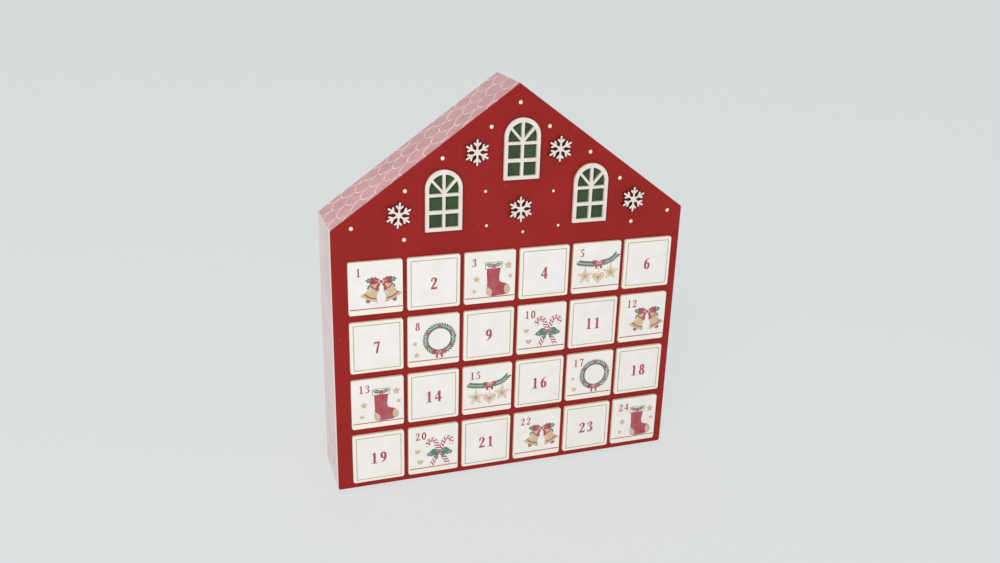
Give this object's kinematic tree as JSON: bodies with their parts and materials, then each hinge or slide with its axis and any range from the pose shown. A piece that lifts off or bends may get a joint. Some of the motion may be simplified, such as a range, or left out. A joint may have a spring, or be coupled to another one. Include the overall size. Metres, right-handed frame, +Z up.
{
  "type": "wooden advent calendar",
  "caption": "House-shaped wooden advent calendar: a gabled case with a grid of small sliding drawers that each hold a treat for one day.",
  "frame": {"origin": "on the ground, under the middle of the calendar's outer box", "axes": "+X to the calendar's right as seen from the front, +Y to its back, +Z up; drawers pull out along -Y"},
  "size_m": [0.322, 0.0638, 0.36],
  "materials": {
    "red_paint": "satin red paint on thin board",
    "side_paint": "off-white paint on board",
    "roof_print": "dusty pink roof with a paler fish-scale line print",
    "bare_board": "bare fibreboard",
    "white_paint": "matt white paint on thin board",
    "green_card": "matt green card"
  },
  "bodies": {
    "case": {"front_panel": "red_paint", "back_panel": "bare_board", "left_wall": "side_paint", "right_wall": "side_paint", "left_roof_board": "roof_print", "right_roof_board": "roof_print", "base_board": "bare_board", "shelves": "bare_board", "dividers": "bare_board", "window_frames": "white_paint", "window_cards": "green_card", "snowflakes": "white_paint"},
    "drawer_01": {"drawer_01_front": "white_paint", "drawer_01_tray": "bare_board"},
    "drawer_02": {"drawer_02_front": "white_paint", "drawer_02_tray": "bare_board"},
    "drawer_03": {"drawer_03_front": "white_paint", "drawer_03_tray": "bare_board"},
    "drawer_04": {"drawer_04_front": "white_paint", "drawer_04_tray": "bare_board"},
    "drawer_05": {"drawer_05_front": "white_paint", "drawer_05_tray": "bare_board"},
    "drawer_06": {"drawer_06_front": "white_paint", "drawer_06_tray": "bare_board"},
    "drawer_07": {"drawer_07_front": "white_paint", "drawer_07_tray": "bare_board"},
    "drawer_08": {"drawer_08_front": "white_paint", "drawer_08_tray": "bare_board"},
    "drawer_09": {"drawer_09_front": "white_paint", "drawer_09_tray": "bare_board"},
    "drawer_10": {"drawer_10_front": "white_paint", "drawer_10_tray": "bare_board"},
    "drawer_11": {"drawer_11_front": "white_paint", "drawer_11_tray": "bare_board"},
    "drawer_12": {"drawer_12_front": "white_paint", "drawer_12_tray": "bare_board"},
    "drawer_13": {"drawer_13_front": "white_paint", "drawer_13_tray": "bare_board"},
    "drawer_14": {"drawer_14_front": "white_paint", "drawer_14_tray": "bare_board"},
    "drawer_15": {"drawer_15_front": "white_paint", "drawer_15_tray": "bare_board"},
    "drawer_16": {"drawer_16_front": "white_paint", "drawer_16_tray": "bare_board"},
    "drawer_17": {"drawer_17_front": "white_paint", "drawer_17_tray": "bare_board"},
    "drawer_18": {"drawer_18_front": "white_paint", "drawer_18_tray": "bare_board"},
    "drawer_19": {"drawer_19_front": "white_paint", "drawer_19_tray": "bare_board"},
    "drawer_20": {"drawer_20_front": "white_paint", "drawer_20_tray": "bare_board"},
    "drawer_21": {"drawer_21_front": "white_paint", "drawer_21_tray": "bare_board"},
    "drawer_22": {"drawer_22_front": "white_paint", "drawer_22_tray": "bare_board"},
    "drawer_23": {"drawer_23_front": "white_paint", "drawer_23_tray": "bare_board"},
    "drawer_24": {"drawer_24_front": "white_paint", "drawer_24_tray": "bare_board"}
  },
  "joints": [
    {"name": "drawer_01_slide", "type": "slide", "parent": "case", "child": "drawer_01", "axis": [0, -1, 0], "range_m": [0, 0.05]},
    {"name": "drawer_02_slide", "type": "slide", "parent": "case", "child": "drawer_02", "axis": [0, -1, 0], "range_m": [0, 0.05]},
    {"name": "drawer_03_slide", "type": "slide", "parent": "case", "child": "drawer_03", "axis": [0, -1, 0], "range_m": [0, 0.05]},
    {"name": "drawer_04_slide", "type": "slide", "parent": "case", "child": "drawer_04", "axis": [0, -1, 0], "range_m": [0, 0.05]},
    {"name": "drawer_05_slide", "type": "slide", "parent": "case", "child": "drawer_05", "axis": [0, -1, 0], "range_m": [0, 0.05]},
    {"name": "drawer_06_slide", "type": "slide", "parent": "case", "child": "drawer_06", "axis": [0, -1, 0], "range_m": [0, 0.05]},
    {"name": "drawer_07_slide", "type": "slide", "parent": "case", "child": "drawer_07", "axis": [0, -1, 0], "range_m": [0, 0.05]},
    {"name": "drawer_08_slide", "type": "slide", "parent": "case", "child": "drawer_08", "axis": [0, -1, 0], "range_m": [0, 0.05]},
    {"name": "drawer_09_slide", "type": "slide", "parent": "case", "child": "drawer_09", "axis": [0, -1, 0], "range_m": [0, 0.05]},
    {"name": "drawer_10_slide", "type": "slide", "parent": "case", "child": "drawer_10", "axis": [0, -1, 0], "range_m": [0, 0.05]},
    {"name": "drawer_11_slide", "type": "slide", "parent": "case", "child": "drawer_11", "axis": [0, -1, 0], "range_m": [0, 0.05]},
    {"name": "drawer_12_slide", "type": "slide", "parent": "case", "child": "drawer_12", "axis": [0, -1, 0], "range_m": [0, 0.05]},
    {"name": "drawer_13_slide", "type": "slide", "parent": "case", "child": "drawer_13", "axis": [0, -1, 0], "range_m": [0, 0.05]},
    {"name": "drawer_14_slide", "type": "slide", "parent": "case", "child": "drawer_14", "axis": [0, -1, 0], "range_m": [0, 0.05]},
    {"name": "drawer_15_slide", "type": "slide", "parent": "case", "child": "drawer_15", "axis": [0, -1, 0], "range_m": [0, 0.05]},
    {"name": "drawer_16_slide", "type": "slide", "parent": "case", "child": "drawer_16", "axis": [0, -1, 0], "range_m": [0, 0.05]},
    {"name": "drawer_17_slide", "type": "slide", "parent": "case", "child": "drawer_17", "axis": [0, -1, 0], "range_m": [0, 0.05]},
    {"name": "drawer_18_slide", "type": "slide", "parent": "case", "child": "drawer_18", "axis": [0, -1, 0], "range_m": [0, 0.05]},
    {"name": "drawer_19_slide", "type": "slide", "parent": "case", "child": "drawer_19", "axis": [0, -1, 0], "range_m": [0, 0.05]},
    {"name": "drawer_20_slide", "type": "slide", "parent": "case", "child": "drawer_20", "axis": [0, -1, 0], "range_m": [0, 0.05]},
    {"name": "drawer_21_slide", "type": "slide", "parent": "case", "child": "drawer_21", "axis": [0, -1, 0], "range_m": [0, 0.05]},
    {"name": "drawer_22_slide", "type": "slide", "parent": "case", "child": "drawer_22", "axis": [0, -1, 0], "range_m": [0, 0.05]},
    {"name": "drawer_23_slide", "type": "slide", "parent": "case", "child": "drawer_23", "axis": [0, -1, 0], "range_m": [0, 0.05]},
    {"name": "drawer_24_slide", "type": "slide", "parent": "case", "child": "drawer_24", "axis": [0, -1, 0], "range_m": [0, 0.05]}
  ]
}
